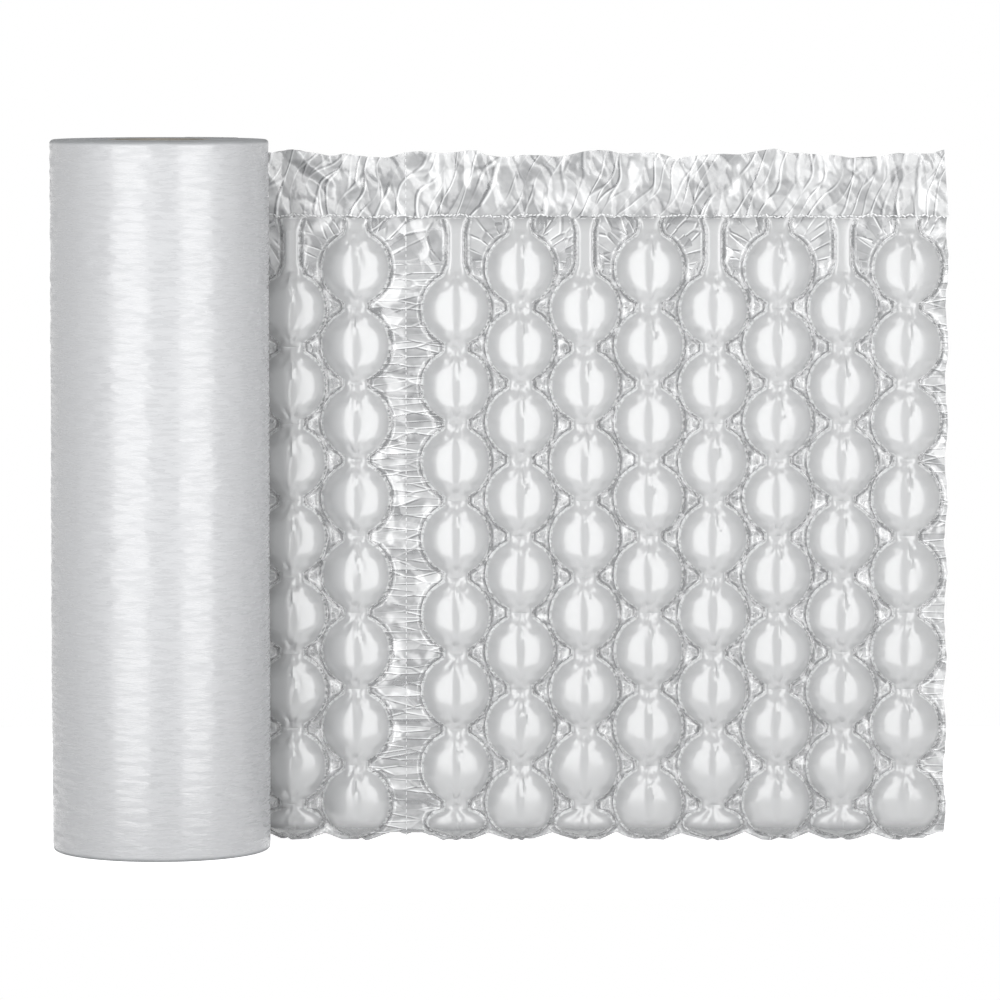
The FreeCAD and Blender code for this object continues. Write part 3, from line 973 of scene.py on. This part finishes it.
class ClosedFilm:
    """Closes two grids of points, a fine front and a coarser back, into one mesh."""

    def __init__(self, name: str, front: SkinGrid, back: SkinGrid) -> None:
        """Keep the grids.

        Args:
            name: the object's name.
            front: the front skin, with rows upwards and columns along the web.
            back: the back skin, on the same outline.
        """
        self.name, self.front, self.back = name, front, back

    @staticmethod
    def quads(rows: int, cols: int, first: int, flip: bool) -> Array:
        """Faces of a grid.

        Args:
            rows: rows of points.
            cols: points in a row.
            first: index of the grid's first point.
            flip: whether the faces turn the other way.

        Returns:
            Corner indices, one row for each face.
        """
        index = first + np.arange(rows * cols).reshape(rows, cols)
        a, b, c, d = index[:-1, :-1], index[:-1, 1:], index[1:, 1:], index[1:, :-1]
        order = (a, d, c, b) if flip else (a, b, c, d)
        return np.stack([part.ravel() for part in order], axis=1)

    @staticmethod
    def border(rows: int, cols: int, first: int) -> tuple[list[int], Array]:
        """Points round a grid, in order, with how far round each one is.

        Args:
            rows: rows of points.
            cols: points in a row.
            first: index of the grid's first point.

        Returns:
            Indices, and the distance round from 0 to 4, one for each side.
        """
        index = first + np.arange(rows * cols).reshape(rows, cols)
        sides = [index[0, :-1], index[:-1, -1], index[-1, :0:-1], index[:0:-1, 0]]
        way = [k + np.arange(len(side)) / len(side) for k, side in enumerate(sides)]
        return [int(i) for side in sides for i in side], np.concatenate(way)

    def strip(self, front_first: int, back_first: int) -> list[tuple[int, int, int]]:
        """Triangles that join the two borders.

        Args:
            front_first: index of the front grid's first point.
            back_first: index of the back grid's first point.

        Returns:
            The triangles.
        """
        rows, cols = self.front.points.shape[:2]
        back_rows, back_cols = self.back.points.shape[:2]
        outer, outer_way = self.border(rows, cols, front_first)
        inner, inner_way = self.border(back_rows, back_cols, back_first)
        triangles = []
        i = j = 0
        while i < len(outer) or j < len(inner):
            next_i = outer_way[i + 1] if i + 1 < len(outer) else 4.0
            next_j = inner_way[j + 1] if j + 1 < len(inner) else 4.0
            a, b = outer[i % len(outer)], inner[j % len(inner)]
            if i < len(outer) and (next_i <= next_j + 1e-9 or j >= len(inner)):
                triangles.append((a, b, outer[(i + 1) % len(outer)]))
                i += 1
            else:
                triangles.append((a, b, inner[(j + 1) % len(inner)]))
                j += 1
        return triangles

    def build(self, material: bpy.types.Material) -> bpy.types.Object:
        """Make the object.

        Args:
            material: its finish.

        Returns:
            The object, closed, with faces outwards.
        """
        rows, cols = self.front.points.shape[:2]
        back_rows, back_cols = self.back.points.shape[:2]
        points = np.concatenate([self.front.points.reshape(-1, 3), self.back.points.reshape(-1, 3)])
        first = rows * cols
        faces = self.quads(rows, cols, 0, False).tolist()
        faces += self.quads(back_rows, back_cols, first, True).tolist()
        faces += self.strip(0, first)
        uv = np.concatenate([self.front.uv.reshape(-1, 2), self.back.uv.reshape(-1, 2)])
        carried = {}
        for key in ("tone", "slack", "edge"):
            carried[key] = np.concatenate([getattr(skin, key).ravel() for skin in (self.front, self.back)])
        carried["folds"] = np.concatenate([self.front.folds.reshape(-1, 3), self.back.folds.reshape(-1, 3)])
        return make_object(self.name, points * MM, faces, uv * MM, carried, material)


def make_object(
    name: str,
    points: Array,
    faces: list,
    uv: Array,
    attributes: dict[str, Array],
    material: bpy.types.Material,
    sharp_angle: float = 24.0,
    around: float = 0.0,
) -> bpy.types.Object:
    """Make a mesh object with a UV map in metres and number attributes.

    Args:
        name: the object's name.
        points: corner points in metres.
        faces: corner indices of each face.
        uv: place of each point on the film, in metres.
        attributes: numbers, or rows of three numbers, that each point carries.
        material: the finish.
        sharp_angle: edges that turn more than this many degrees stay sharp.
        around: distance in metres after which the UV map starts again, on a round piece of quads.

    Returns:
        The object, linked to the scene.
    """
    mesh = bpy.data.meshes.new(name)
    mesh.from_pydata(points.tolist(), [], faces)
    mesh.update()
    corners = np.zeros(len(mesh.loops), dtype=np.int64)
    mesh.loops.foreach_get("vertex_index", corners)
    place = uv[corners]
    if around:
        quads = place.reshape(-1, 4, 2)
        seam = np.ptp(quads[..., 0], axis=1) > around / 2
        quads[..., 0] += around * (seam[:, None] & (quads[..., 0] < around / 2))
    layer = mesh.uv_layers.new(name="film")
    layer.data.foreach_set("uv", place.astype(np.float32).ravel())
    for key, values in attributes.items():
        kind, slot = ("FLOAT", "value") if values.ndim == 1 else ("FLOAT_VECTOR", "vector")
        attribute = mesh.attributes.new(key, kind, "POINT")
        attribute.data.foreach_set(slot, values.astype(np.float32).ravel())
    mesh.shade_smooth()
    mesh.set_sharp_from_angle(angle=math.radians(sharp_angle))
    mesh.materials.append(material)
    made = bpy.data.objects.new(name, mesh)
    bpy.context.scene.collection.objects.link(made)
    return made


@dataclass(frozen=True)
class PressedFilm:
    """Film whitened where it is pressed or cut."""

    colour: str = "#DFE0E1"

    def build(self) -> bpy.types.Material:
        """Make the material.

        Returns:
            The material.
        """
        t = ShaderTree("polyethylene film, pressed")
        t.feed("Base Color", linear(self.colour))
        t.feed("Roughness", 0.25)
        t.feed("Alpha", 0.9)
        t.feed("Specular IOR Level", 0.8)
        return t.material


@dataclass
class MarkRow:
    """A row of equal small marks along a line, made by Geometry Nodes and baked."""

    name: str
    points: Array
    spacing_mm: float
    size_mm: tuple[float, float, float]
    spread: float
    seed: int

    def line(self) -> bpy.types.Object:
        """Make the line that the marks follow.

        Returns:
            An object of edges only.
        """
        mesh = bpy.data.meshes.new(self.name + "_line")
        edges = [(i, i + 1) for i in range(len(self.points) - 1)]
        mesh.from_pydata((self.points * MM).tolist(), edges, [])
        made = bpy.data.objects.new(self.name + "_line", mesh)
        bpy.context.scene.collection.objects.link(made)
        return made

    def tree(self, material: bpy.types.Material) -> tuple[bpy.types.NodeTree, dict[str, str]]:
        """Build the node tree.

        Args:
            material: finish of the marks.

        Returns:
            The tree, and each named input's socket identifier.
        """
        tree = bpy.data.node_groups.new(self.name, "GeometryNodeTree")
        face = tree.interface
        face.new_socket(name="Geometry", in_out="INPUT", socket_type="NodeSocketGeometry")
        kinds = {"Spacing": "Float", "Size": "Vector", "Spread": "Float", "Seed": "Int"}
        keys = {}
        for label, kind in kinds.items():
            socket = face.new_socket(name=label, in_out="INPUT", socket_type="NodeSocket" + kind)
            keys[label] = socket.identifier
        face.new_socket(name="Geometry", in_out="OUTPUT", socket_type="NodeSocketGeometry")

        def add(kind: str) -> bpy.types.Node:
            """Add one node."""
            return tree.nodes.new(kind)

        start, end = add("NodeGroupInput"), add("NodeGroupOutput")
        curve, spaced = add("GeometryNodeMeshToCurve"), add("GeometryNodeResampleCurve")
        spaced.mode = "LENGTH"
        along, turn = add("GeometryNodeInputTangent"), add("FunctionNodeAlignRotationToVector")
        turn.axis = "X"
        cube, put = add("GeometryNodeMeshCube"), add("GeometryNodeInstanceOnPoints")
        shrink, lean = add("FunctionNodeRandomValue"), add("FunctionNodeRandomValue")
        lean.data_type = "FLOAT_VECTOR"
        shrink.inputs["Min"].default_value, shrink.inputs["Max"].default_value = 0.65, 1.1
        low, high = add("ShaderNodeVectorMath"), add("ShaderNodeVectorMath")
        low.operation = high.operation = "SCALE"
        low.inputs[0].default_value, high.inputs[0].default_value = (-0.4, -1, -0.4), (0.4, 1, 0.4)
        tilt, real = add("FunctionNodeRotateRotation"), add("GeometryNodeRealizeInstances")
        tilt.rotation_space = "LOCAL"
        dress = add("GeometryNodeSetMaterial")
        dress.inputs["Material"].default_value = material
        link = tree.links.new
        link(start.outputs["Geometry"], curve.inputs["Mesh"])
        link(curve.outputs[0], spaced.inputs["Curve"])
        link(start.outputs["Spacing"], spaced.inputs["Length"])
        link(spaced.outputs[0], put.inputs["Points"])
        link(start.outputs["Size"], cube.inputs["Size"])
        link(cube.outputs[0], put.inputs["Instance"])
        link(along.outputs[0], turn.inputs["Vector"])
        link(start.outputs["Spread"], low.inputs["Scale"])
        link(start.outputs["Spread"], high.inputs["Scale"])
        link(low.outputs[0], lean.inputs["Min"])
        link(high.outputs[0], lean.inputs["Max"])
        link(start.outputs["Seed"], lean.inputs["Seed"])
        link(start.outputs["Seed"], shrink.inputs["Seed"])
        link(turn.outputs[0], tilt.inputs["Rotation"])
        link(lean.outputs[0], tilt.inputs["Rotate By"])
        link(tilt.outputs[0], put.inputs["Rotation"])
        link(shrink.outputs[1], put.inputs["Scale"])
        link(put.outputs[0], real.inputs[0])
        link(real.outputs[0], dress.inputs["Geometry"])
        link(dress.outputs[0], end.inputs[0])
        return tree, keys

    def build(self, material: bpy.types.Material) -> bpy.types.Object:
        """Bake the marks.

        Args:
            material: their finish.

        Returns:
            The object, a plain mesh.
        """
        line = self.line()
        tree, keys = self.tree(material)
        modifier = line.modifiers.new(self.name, "NODES")
        modifier.node_group = tree
        modifier[keys["Spacing"]] = self.spacing_mm * MM
        modifier[keys["Size"]] = [side * MM for side in self.size_mm]
        modifier[keys["Spread"]] = self.spread
        modifier[keys["Seed"]] = self.seed
        graph = bpy.context.evaluated_depsgraph_get()
        mesh = bpy.data.meshes.new_from_object(line.evaluated_get(graph))
        line.modifiers.remove(modifier)
        bpy.data.objects.remove(line)
        mesh.name = self.name
        made = bpy.data.objects.new(self.name, mesh)
        bpy.context.scene.collection.objects.link(made)
        return made


@dataclass
class InflatedLength:
    """The inflated web: its panel, its lead to the roll, its loose header, seal and perforation."""

    sizes: WebSizes = field(default_factory=WebSizes)
    row_step_mm: float = 1.25
    edge_step_mm: float = 1.25
    hem_low: float = 1.0
    hem_rise: float = 3.6
    header_flare: float = 5.0
    header_wave: float = 1.4
    header_wave_length: float = 92.0
    edge_pull: float = 1.6
    flap_thickness: float = 0.22
    flap_width: float = 38.0
    crimp_spacing: float = 2.3
    crimp_size: tuple[float, float, float] = (2.1, 0.5, 0.8)
    cut_spacing: float = 3.4
    cut_size: tuple[float, float, float] = (1.9, 0.55, 0.55)

    def __post_init__(self) -> None:
        """Trace the plan and lay out the relief."""
        self.plan = WebPlan(self.sizes)
        self.relief = FilmRelief(self.sizes, self.plan)
        self.flap_noise = FilmNoise(61)

    def hem_height(self, u: Array) -> Array:
        """Height of the scalloped lower edge.

        Args:
            u: distances along the web.

        Returns:
            Heights in mm.
        """
        free = ramp(u, self.plan.leaves_roll, self.plan.web_start)
        nearest = np.min([np.abs(u - place) for place, _ in self.relief.columns], axis=0)
        lift = ramp(nearest, 7.0, self.sizes.column_pitch / 2)
        ruffle = 0.8 * self.flap_noise.creased(u / 5.0, u * 0 + 0.5)
        return (self.hem_low + self.hem_rise * lift + np.clip(ruffle, -0.9, 0.9)) * free

    def header_height(self, u: Array, side: int) -> Array:
        """Height of a flap's free edge.

        Args:
            u: distances along the web.
            side: 1 for the front flap and -1 for the back one.

        Returns:
            Heights in mm.
        """
        free = ramp(u, self.plan.leaves_roll, self.plan.web_start)
        wave = np.sin(2 * math.pi * u / self.header_wave_length)
        wave += 0.6 * np.sin(2 * math.pi * u / (self.header_wave_length * 0.37) + 1.0)
        wave *= self.header_wave
        wave += 1.1 * self.flap_noise.faceted(u / 9 + 40 * side, u * 0 + 2.5) - (1.6 if side < 0 else 0.8)
        return self.sizes.film_width + (wave - self.sizes.width_shrink) * free

    def edge_shift(self, z: Array) -> Array:
        """How far the torn far edge is pulled in at each height."""
        ragged = 0.5 + 0.5 * np.sin(2 * math.pi * z / (self.sizes.seal_height / 8) + 2.4)
        return self.edge_pull * ragged + 0.5 * self.flap_noise.smooth(z / 6, z * 0 + 8.5)

    def grid_lines(self, start: float, end: float, level: Array, skip: int) -> Array:
        """Places of the grid's columns at each height, drawn to the outlines of the air tubes.

        Args:
            start: first place along the web.
            end: last place along the web.
            level: heights of the rows.
            skip: 1 for every line, 2 for every second one.

        Returns:
            Places, one row for each height.
        """
        inner = np.array([0, 0.07, 0.14, 0.22, 0.31, 0.41, 0.51, 0.61, 0.70, 0.79, 0.87, 0.94, 1])[::skip]
        outer = np.array([0, 0.07, 0.18, 0.34, 0.5, 0.66, 0.82, 0.93, 1])[::skip]
        spans = []
        last = np.full_like(level, start)
        for place, long_inlet in self.relief.columns:
            if not start < place < end:
                continue
            width = np.maximum(self.relief.tube_sizes(level, place, long_inlet)[0], 3.0)
            middle = np.full_like(level, place)
            steps = outer
            if not spans:
                count = 2 * math.ceil((place - self.sizes.neck_half_width - start) / self.edge_step_mm / 2)
                steps = np.linspace(0, 1, count + 1)[::skip]
            spans.append((last, place - width, steps))
            spans.append((place - width, middle, 1 - inner[::-1]))
            spans.append((middle, place + width, inner))
            last = place + width
        gap = end - last.mean()
        steps = np.linspace(0, 1, 2 * math.ceil(max(gap, 8.0) / self.edge_step_mm / 2) + 1)[::skip]
        spans.append((last, np.full_like(level, end), steps))
        lines = [a[:, None] + (b - a)[:, None] * share[None, :-1] for a, b, share in spans]
        return np.concatenate([*lines, np.full((len(level), 1), end)], axis=1)

    def panel_grid(self, start: float, end: float, side: int, skip: int) -> SkinGrid:
        """Grid of one skin between two places on the web, from hem to seal.

        Args:
            start: first place along the web.
            end: last place along the web.
            side: 1 for the front skin and -1 for the back one.
            skip: 1 for every line of the grid, 2 for every second one.

        Returns:
            The grid.
        """
        s = self.sizes
        rows = 2 * round(s.seal_height / self.row_step_mm / 2)
        level = np.linspace(0, 1, rows + 1)[::skip] * s.seal_height
        u = self.grid_lines(start, end, level, skip)
        z = np.repeat(level[:, None], u.shape[1], axis=1)
        z = z + self.hem_height(u) * np.exp(-z / 9.0)
        if end == self.plan.end:
            near_end = ramp(u, end - 8, end)
            u = u - self.edge_shift(z) * near_end
        n, tone, slack, edge, folds = self.relief.skin(u, z, side)
        seal = ramp(z, s.seal_height - 4, s.seal_height)
        n = n * (1 - seal) + side * s.half_web * seal
        # painted shade and highlights of the folds, baked into the tone
        tone = paint_fold_shading(tone, side * n, slack, u, z)
        return SkinGrid(self.plan.place(u, z, n), np.stack([u, z], axis=-1), tone, slack, edge, folds)

    def panel(self, name: str, start: float, end: float, film: bpy.types.Material) -> bpy.types.Object:
        """One panel of the web.

        Args:
            name: the object's name.
            start: first place along the web.
            end: last place along the web.
            film: its finish.

        Returns:
            The object.
        """
        front = self.panel_grid(start, end, 1, 1)
        back = self.panel_grid(start, end, -1, 2)
        return ClosedFilm(name, front, back).build(film)

    def flap_place(self, u: Array, t: Array, side: int) -> tuple[Array, Array]:
        """Height of a point of a flap and its distance out of the web's middle line.

        Args:
            u: distances along the web.
            t: shares of the flap's height, from 0 at the seal to 1 at its free edge.
            side: 1 for the front flap and -1 for the back one.

        Returns:
            Heights, and distances towards the flap's own side, in mm.
        """
        s = self.sizes
        noise = self.flap_noise
        key = 17.0 * side
        low = s.seal_height - 1.2 + 0.9 * noise.faceted(u / 2.7, u * 0 + side)
        z = low + (self.header_height(u, side) - low) * t
        swell = 0.65 + 0.35 * np.sin(2 * math.pi * u / (self.header_wave_length * 1.3))
        pleat = 0.55 + 0.45 * noise.smooth(u / 13 + key, z / 60)
        lean = self.header_flare * swell * pleat * t**1.4
        fan = noise.faceted(u / 9.0 + key, z / 26)
        folds = noise.wrinkled(u / 13 + key, z / 12)
        small = noise.faceted(u / 4.4 + key, z / 5)
        grow = ramp(t, -0.12, 0.14)
        near_seal = np.exp(-t / 0.14)
        n = (1.5 * fan + 3.0 * folds * (0.4 + 0.6 * t) + (0.35 + 0.4 * near_seal) * small) * grow
        free = ramp(u, self.plan.leaves_roll, self.plan.web_start)
        n += 0.15 + 0.85 * ramp(t, 0.0, 0.25)
        return z, np.maximum((lean + n) * free, 0.02) + s.half_web + 0.02

    def flap_grid(self, side: int, outer: bool, step: float) -> SkinGrid:
        """Grid of one face of a header flap.

        Args:
            side: 1 for the front flap and -1 for the back one.
            outer: whether this is the face away from the other flap.
            step: grid spacing in mm.

        Returns:
            The grid.
        """
        s = self.sizes
        start, end = self.plan.start + 1.0, self.plan.end
        along = np.linspace(start, end, round((end - start) / step) + 1)
        u, t = np.meshgrid(along, np.linspace(0, 1, round(s.header_height / step) + 1))
        z, n = self.flap_place(u, t, side)
        free = ramp(u, self.plan.leaves_roll, self.plan.web_start)
        # painted shade and highlights of the flaps' folds, baked into the tone
        tone = paint_fold_shading(np.full_like(u, 0.5), n, free, u, z)
        shown = u - 3.0 * t * ramp(u, end - 12, end)
        points = self.plan.place(shown, z, side * (n + (self.flap_thickness if outer else 0.0)))
        warp = 7 * self.flap_noise.smooth(u / 26, z / 26)
        # strength of the painted fold lines and facet shading on the flaps
        strength = free * (0.85 - 0.3 * t)
        folds = np.stack([(z + 0.35 * u) / 34, (u - 0.4 * z + warp) / 7.5, strength], axis=-1)
        return SkinGrid(points, np.stack([u, z], axis=-1), tone, free, np.full_like(u, 5.0), folds)

    def flap(self, name: str, side: int, film: bpy.types.Material) -> bpy.types.Object:
        """One loose flap of the header.

        Args:
            name: the object's name.
            side: 1 for the front flap and -1 for the back one.
            film: its finish.

        Returns:
            The object.
        """
        front = self.flap_grid(side, side > 0, 0.85 if side > 0 else 1.7)
        back = self.flap_grid(side, side < 0, 0.85 if side < 0 else 1.7)
        return ClosedFilm(name, front, back).build(film)

    def build(self, film: bpy.types.Material) -> list[bpy.types.Object]:
        """Args:
            film: its finish.

        Returns:
            The objects.
        """
        panels = [
            self.panel("air_cell_panel", 0.0, self.plan.end, film),
            self.panel("air_cell_lead", self.plan.start, 0.0, film),
        ]
        flaps = [self.flap("header_flap_front", 1, film), self.flap("header_flap_back", -1, film)]
        return [*panels, *flaps, *self.mark_rows()]

    def mark_rows(self) -> list[bpy.types.Object]:
        """Crimps along the seal and cuts along the perforation, on both skins.

        Returns:
            The objects.
        """
        s = self.sizes
        pressed = PressedFilm().build()
        rows = []
        for side, word in ((1, "front"), (-1, "back")):
            u = np.arange(self.plan.web_start + 2, self.plan.end - 2, 1.2)
            height = s.seal_height - 0.6 + 0.9 * self.flap_noise.faceted(u / 3.4, u * 0 + side)
            n = u * 0 + side * (s.half_web + 0.75)
            crimps = self.plan.place(u, height, n)
            name = "seal_crimps_" + word
            row = MarkRow(name, crimps, self.crimp_spacing, self.crimp_size, 0.7, 5 + side)
            rows.append(row.build(pressed))
            z = np.arange(4.0, s.seal_height - 2, 1.0)
            n = self.relief.skin(z * 0, z, side)[0]
            t = np.linspace(0.02, 0.97, 40)
            flap_z, flap_n = self.flap_place(t * 0, t, side)
            z, n = np.concatenate([z, flap_z]), np.concatenate([n, side * (flap_n + self.flap_thickness)])
            cuts = self.plan.place(z * 0, z, n + side * 0.05)
            name = "perforation_" + word
            row = MarkRow(name, cuts, self.cut_spacing, self.cut_size, 0.05, 9 + side)
            rows.append(row.build(pressed))
        return rows


@dataclass
class WoundRoll:
    """All the wound turns: a wrinkled side, eased edges and ends that show the turns' edges."""

    film_width: float = 400.0
    radius: float = 61.5
    bore: float = 29.0
    edge_round: float = 2.5
    wrinkle_depth: float = 0.42
    around: int = 260
    side_rows: int = 290
    end_rows: int = 26

    def __post_init__(self) -> None:
        """Draw the wrinkles."""
        self.noise = FilmNoise(71)
        self.ends = FilmNoise(83)

    def wrinkles(self, s: Array, z: Array) -> Array:
        """Depth of the side's fine wrinkles, which lie nearly level.

        Args:
            s: distances round the roll in mm.
            z: heights in mm.

        Returns:
            Distances out of the roll.
        """
        lean = z - 0.06 * s + 2.0 * self.noise.smooth(s / 45, z / 60)
        fine = self.noise.creased(s / 20.0, lean / 4.4)
        long = self.noise.creased(s / 30.0 + 31, lean / 7.5 + 17)
        patch = ramp(self.noise.smooth(s / 30 + 11, z / 42 + 5) + 0.35, -0.3, 0.6)
        fade = 0.35 + 0.65 * ramp(z, 20, 230)
        swell = 0.30 * self.noise.smooth(s / 80 + 51, z / 130)
        return self.wrinkle_depth * patch * fade * (0.55 * fine + 0.6 * long) + swell

    def build(self, film: bpy.types.Material) -> bpy.types.Object:
        """Make the object.

        Args:
            film: its finish.

        Returns:
            The object, closed round its bore.
        """
        ease = self.edge_round
        count = self.around
        angles = np.arange(count) * 2 * math.pi / count
        radii = np.linspace(self.bore, self.radius - ease, self.end_rows)
        rings = self.ends.smooth(radii / 1.9, radii * 0 + 0.5) * 0.45 + 0.5
        corner = np.linspace(0, math.pi / 2, 6)[1:-1]
        low = [(r, d) for r, d in zip(radii, rings)]
        low += [(self.radius - ease + ease * math.sin(a), ease - ease * math.cos(a)) for a in corner]
        side = [(self.radius, z) for z in np.linspace(ease, self.film_width - ease, self.side_rows)]
        high = [(r, self.film_width - d) for r, d in reversed(low)]
        profile = np.array(low + side + high)
        rows = len(profile)
        r = np.repeat(profile[:, 0][:, None], count, axis=1)
        z = np.repeat(profile[:, 1][:, None], count, axis=1)
        turn = np.repeat(angles[None, :], rows, axis=0)
        arc = turn * self.radius
        side_share = ramp(r, self.radius - 0.8, self.radius)
        wrap = ramp(turn, 0.0, 0.35) * (1 - ramp(turn, 2 * math.pi - 0.35, 2 * math.pi))
        r = r + (self.wrinkles(arc, z) * wrap - 0.25) * side_share
        inner = r < self.bore + 0.01
        level = np.where(z < self.film_width / 2, 0.0, self.film_width)
        z = np.where(inner, level, z)
        points = np.stack([r * np.sin(turn), r * np.cos(turn), z], axis=-1).reshape(-1, 3)
        index = np.arange(rows * count).reshape(rows, count)
        after = np.roll(index, -1, axis=1)
        next_row, next_after = np.roll(index, -1, axis=0), np.roll(after, -1, axis=0)
        faces = np.stack([index.ravel(), next_row.ravel(), next_after.ravel(), after.ravel()], axis=1)
        uv = np.stack([arc, z], axis=-1).reshape(-1, 2)
        far = ramp(np.abs(z - self.film_width / 2), self.film_width / 2 - 2.2, self.film_width / 2 - 1.2)
        end = np.maximum(1 - ramp(r, self.radius - 2.6, self.radius - 0.4), far).ravel()
        round_trip = 2 * math.pi * self.radius * MM
        name = "wound_film"
        return make_object(name, points * MM, faces.tolist(), uv * MM, {"end": end}, film, 50.0, round_trip)


@dataclass
class Studio:
    """White floor, two tall soft boxes and the photograph's camera."""

    camera_place: tuple[float, float, float] = (0.15938, -3.6389, 0.48131)
    pitch: float = 4.4646
    yaw: float = 0.4977
    focal_px: float = 6485.2
    image_px: float = 1000.0
    box_angle: float = 35.0
    box_distance: float = 1.35
    box_width: float = 0.86
    box_height: float = 4.2
    box_radiance: float = 2.6
    box_aim: tuple[float, float, float] = (0.19, 0.0, 0.12)
    world_level: float = 0.22
    floor_low: tuple[float, float] = (-0.45, -0.2)
    floor_high: tuple[float, float] = (0.85, 0.6)

    def build_camera(self) -> None:
        """Make the camera."""
        data = bpy.data.cameras.new("camera")
        data.sensor_width = 36.0
        data.lens = self.focal_px / self.image_px * data.sensor_width
        data.clip_start, data.clip_end = 0.05, 30.0
        camera = bpy.data.objects.new("camera", data)
        camera.location = self.camera_place
        camera.rotation_euler = Euler((math.radians(90 - self.pitch), 0, math.radians(-self.yaw)))
        bpy.context.scene.collection.objects.link(camera)
        bpy.context.scene.camera = camera

    def build_lamps(self) -> None:
        """Make the two soft boxes, which stand left and right of the camera."""
        power = self.box_radiance * math.pi * self.box_width * self.box_height
        aim = np.array(self.box_aim)
        for hand in (-1, 1):
            data = bpy.data.lights.new("soft_box", "AREA")
            data.shape, data.size, data.size_y = "RECTANGLE", self.box_width, self.box_height
            data.energy = power
            lamp = bpy.data.objects.new("soft_box", data)
            a = math.radians(self.box_angle) * hand
            lamp.location = aim + self.box_distance * np.array([math.sin(a), -math.cos(a), 0.0])
            lamp.rotation_euler = Euler((math.radians(90), 0, a))
            bpy.context.scene.collection.objects.link(lamp)

    def build_world(self) -> None:
        """Make a pale world that the camera, gloss and film see as white."""
        world = bpy.data.worlds.new("studio")
        bpy.context.scene.world = world
        world.use_nodes = True
        tree = world.node_tree
        tree.nodes.clear()
        out = tree.nodes.new("ShaderNodeOutputWorld")
        kinds = ("Background", "Background", "MixShader", "LightPath", "Math", "Math")
        pale, white, mix, path, seen, shown = (tree.nodes.new("ShaderNode" + kind) for kind in kinds)
        seen.operation = shown.operation = "MAXIMUM"
        pale.inputs[0].default_value = white.inputs[0].default_value = (1, 1, 1, 1)
        pale.inputs[1].default_value = self.world_level
        tree.links.new(path.outputs["Is Camera Ray"], seen.inputs[0])
        tree.links.new(path.outputs["Is Glossy Ray"], seen.inputs[1])
        tree.links.new(seen.outputs[0], shown.inputs[0])
        tree.links.new(path.outputs["Is Transmission Ray"], shown.inputs[1])
        tree.links.new(shown.outputs[0], mix.inputs[0])
        tree.links.new(pale.outputs[0], mix.inputs[1])
        tree.links.new(white.outputs[0], mix.inputs[2])
        tree.links.new(mix.outputs[0], out.inputs[0])

    def build_floor(self) -> bpy.types.Object:
        """Make the floor.

        Returns:
            The floor's object.
        """
        mesh = bpy.data.meshes.new("floor")
        (left, near), (right, far) = self.floor_low, self.floor_high
        corners = [(left, near, 0), (right, near, 0), (right, far, 0), (left, far, 0)]
        mesh.from_pydata(corners, [], [(0, 1, 2, 3)])
        mesh.materials.append(StudioWhite().build())
        floor = bpy.data.objects.new("floor", mesh)
        bpy.context.scene.collection.objects.link(floor)
        return floor


def main() -> None:
    """Dress the frame and set the studio."""
    logging.basicConfig(level=logging.INFO, format="%(name)s: %(message)s")
    scene = bpy.context.scene
    scene.view_settings.view_transform = "Standard"
    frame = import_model()
    film = InflatedFilm().build()
    for piece in InflatedLength().build(film):
        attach(piece, "root")
        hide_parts("inflated_sheet")
        LOG.info("%s: %d faces", piece.name, len(piece.data.polygons))
    roll = WoundRoll().build(WoundFilm().build())
    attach(roll, "root")
    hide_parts("film_roll")
    LOG.info("%s: %d faces", roll.name, len(roll.data.polygons))
    tube = frame["nodes"]["core_tube"]
    tube.data.materials.clear()
    tube.data.materials.append(TubeBoard().build())
    studio = Studio()
    studio.build_camera()
    studio.build_lamps()
    studio.build_world()
    studio.build_floor()


if __name__ == "__main__":
    main()
